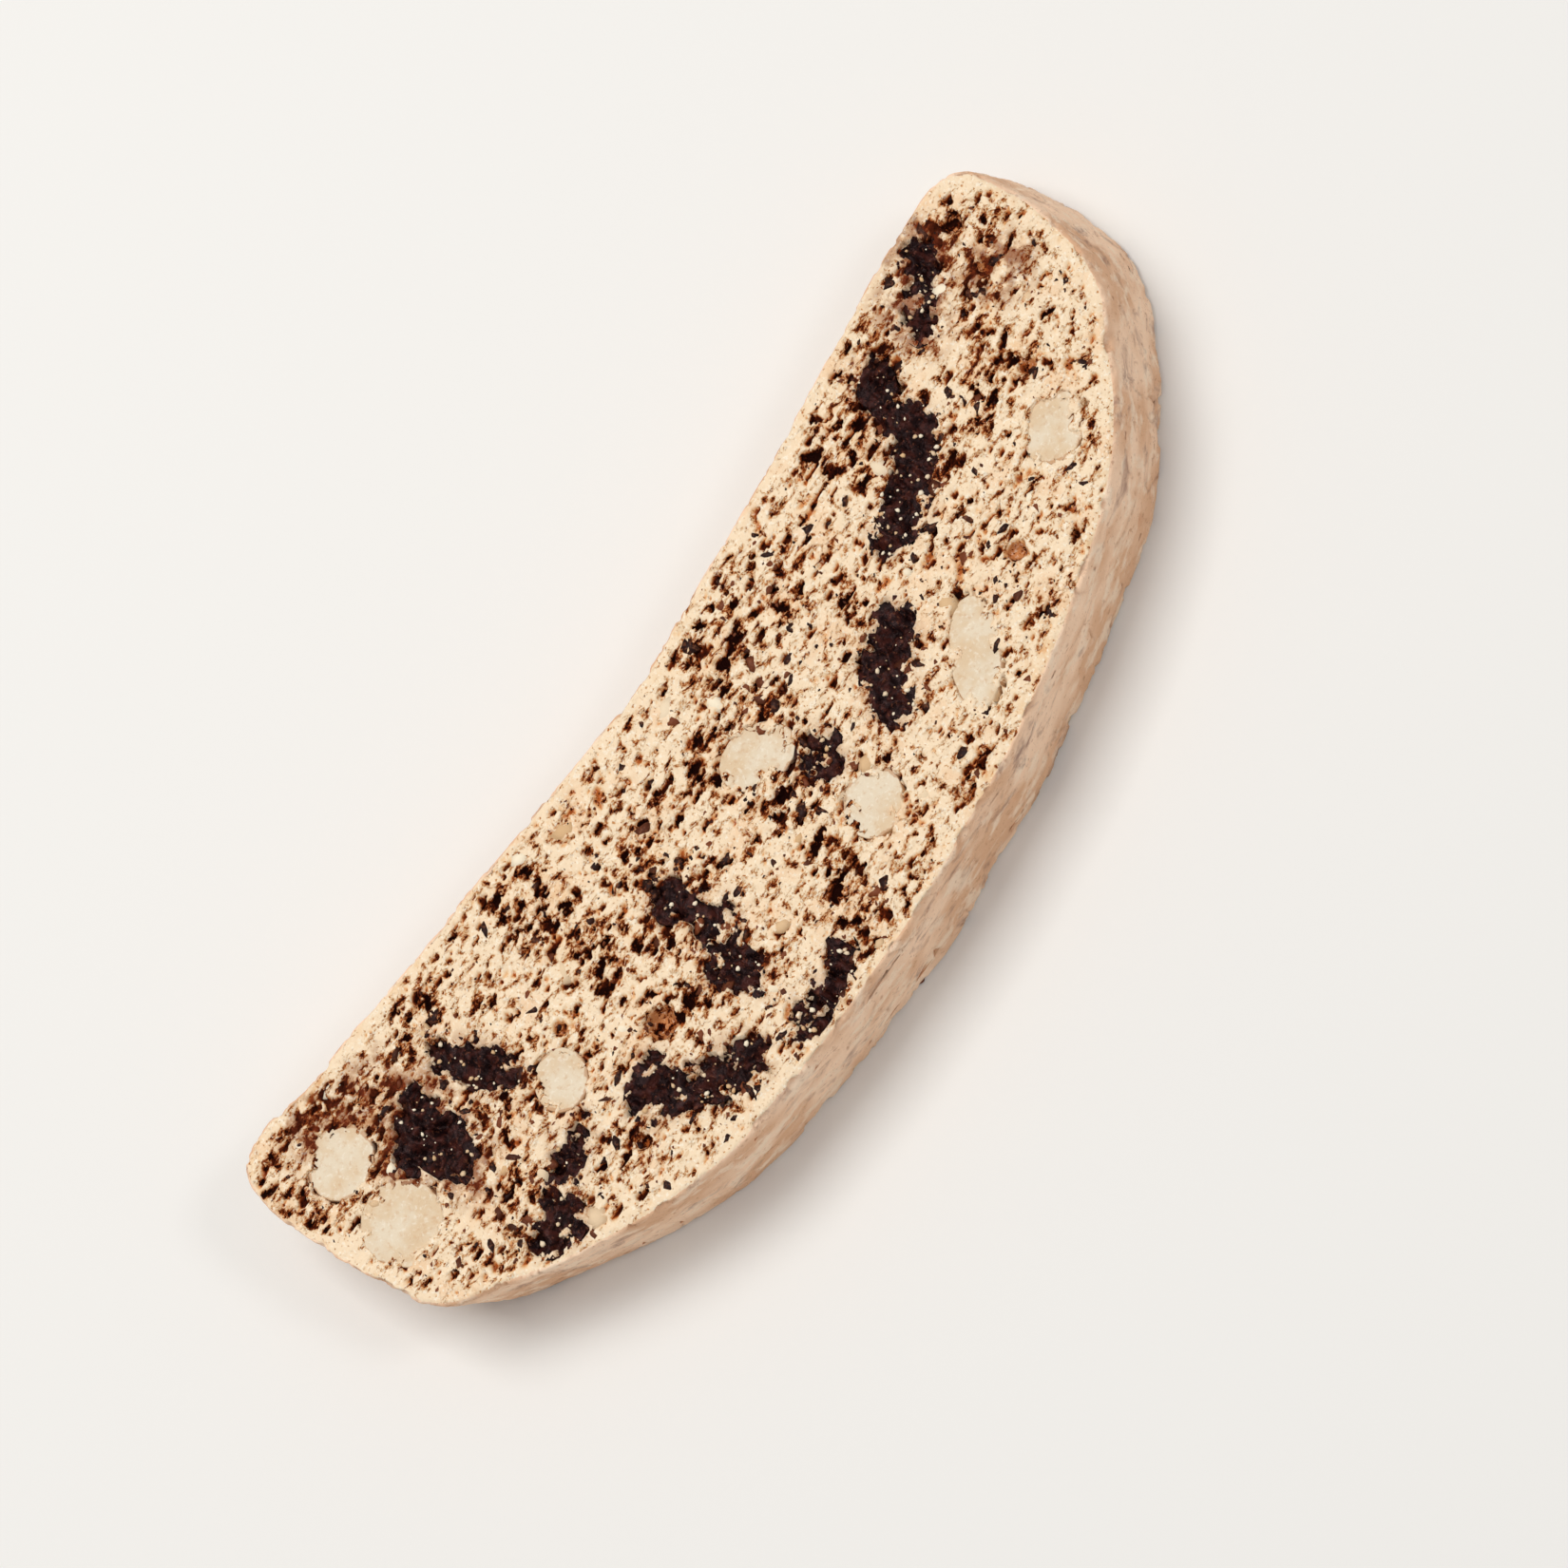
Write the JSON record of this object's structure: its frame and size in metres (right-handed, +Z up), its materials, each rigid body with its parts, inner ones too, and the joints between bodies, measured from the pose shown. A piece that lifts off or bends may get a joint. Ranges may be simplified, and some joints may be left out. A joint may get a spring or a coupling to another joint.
{
  "type": "biscotto slice",
  "caption": "Long slice of twice-baked biscotto with chocolate chunks and hazelnut pieces, lying on one cut face.",
  "frame": {"origin": "under the middle of the slice's box, on the surface it lies on", "axes": "+X along the length of the slice, +Y towards the flat base of the loaf it was cut from, with the domed crust at -Y, +Z up out of the upper cut face"},
  "size_m": [0.107, 0.0368, 0.011],
  "materials": {
    "baked_dough": "dry porous crumb on the cut faces, floury matt crust",
    "chocolate": "dark chocolate, satin, broken grain where it was cut",
    "hazelnut": "smooth pale cut nut, satin, thin brown skin at the edge"
  },
  "bodies": {
    "root": {"dough_slice": "baked_dough", "chocolate_wedge": "chocolate", "chocolate_bar": "chocolate", "chocolate_streak": "chocolate", "chocolate_hook": "chocolate", "chocolate_chain": "chocolate", "chocolate_by_crust": "chocolate", "chocolate_speck": "chocolate", "chocolate_slab": "chocolate", "chocolate_boot": "chocolate", "chocolate_by_base": "chocolate", "chocolate_below_left": "chocolate", "chocolate_below_right": "chocolate", "hazelnut_end_small": "hazelnut", "hazelnut_end_large": "hazelnut", "hazelnut_left": "hazelnut", "hazelnut_middle": "hazelnut", "hazelnut_low": "hazelnut", "hazelnut_long": "hazelnut", "hazelnut_right": "hazelnut", "hazelnut_below_left": "hazelnut", "hazelnut_below_right": "hazelnut"}
  },
  "joints": []
}
